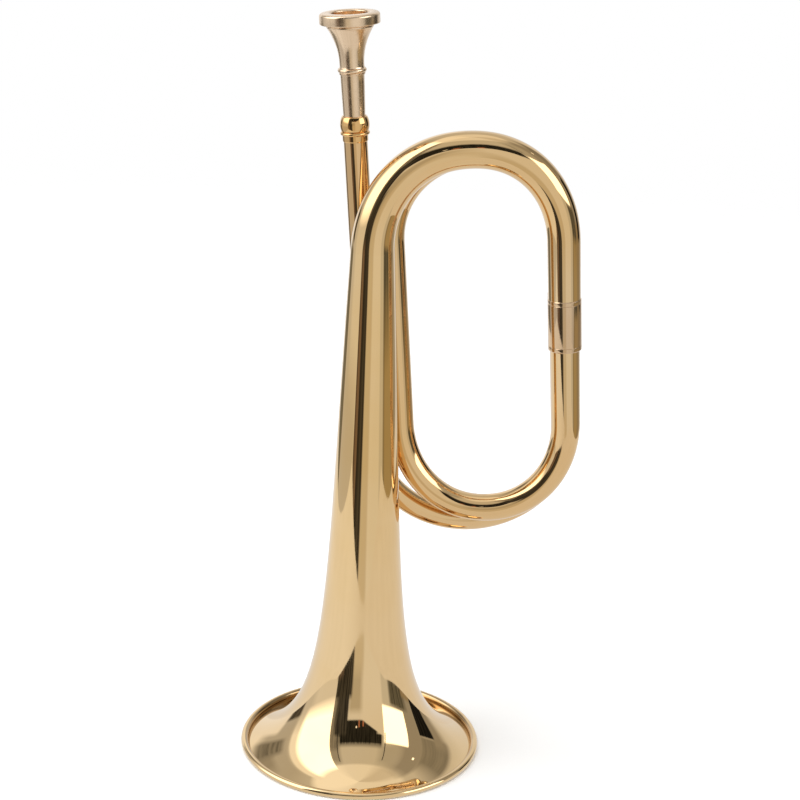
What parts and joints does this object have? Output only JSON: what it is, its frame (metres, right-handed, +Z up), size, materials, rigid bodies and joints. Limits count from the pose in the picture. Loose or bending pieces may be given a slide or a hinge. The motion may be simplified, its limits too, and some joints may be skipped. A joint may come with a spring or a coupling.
{
  "type": "bugle",
  "caption": "Valveless brass bugle coiled in close parallel loops, with a flared bell, soldered ferrules and a pull-out cup mouthpiece, standing on its bell.",
  "frame": {"origin": "centre of the bell mouth, on the plane that the rim rests on", "axes": "+Z up the bell axis towards the mouthpiece, +X from the bell towards the far side of the loops, -Y the side that carries the bell and the front loop"},
  "size_m": [0.1559, 0.115, 0.3478],
  "materials": {
    "lacquered_brass": "polished and lacquered",
    "satin_brass": "fine turned satin",
    "rim_wire": "drawn wire, sealed in the rim",
    "soft_solder": "wiped soft solder"
  },
  "bodies": {
    "horn": {"bell_flare": "lacquered_brass", "bell_tail": "lacquered_brass", "front_top_bow": "lacquered_brass", "front_branch_upper": "lacquered_brass", "front_ferrule": "lacquered_brass", "front_branch_lower": "lacquered_brass", "front_bottom_bow": "lacquered_brass", "left_branch": "lacquered_brass", "rear_top_bow": "lacquered_brass", "rear_branch_upper": "lacquered_brass", "rear_ferrule": "lacquered_brass", "rear_branch_lower": "lacquered_brass", "rear_bottom_bow": "lacquered_brass", "leadpipe": "lacquered_brass", "mouthpiece_receiver": "lacquered_brass", "bell_rim_wire": "rim_wire", "ferrule_solder": "soft_solder", "leadpipe_solder": "soft_solder", "left_branch_solder": "soft_solder"},
    "mouthpiece": {"mouthpiece": "satin_brass"}
  },
  "joints": [
    {"name": "mouthpiece_pull", "type": "slide", "parent": "horn", "child": "mouthpiece", "axis": [-0.0698, -0.0468, 0.9965], "range_m": [0, 0.04]}
  ]
}
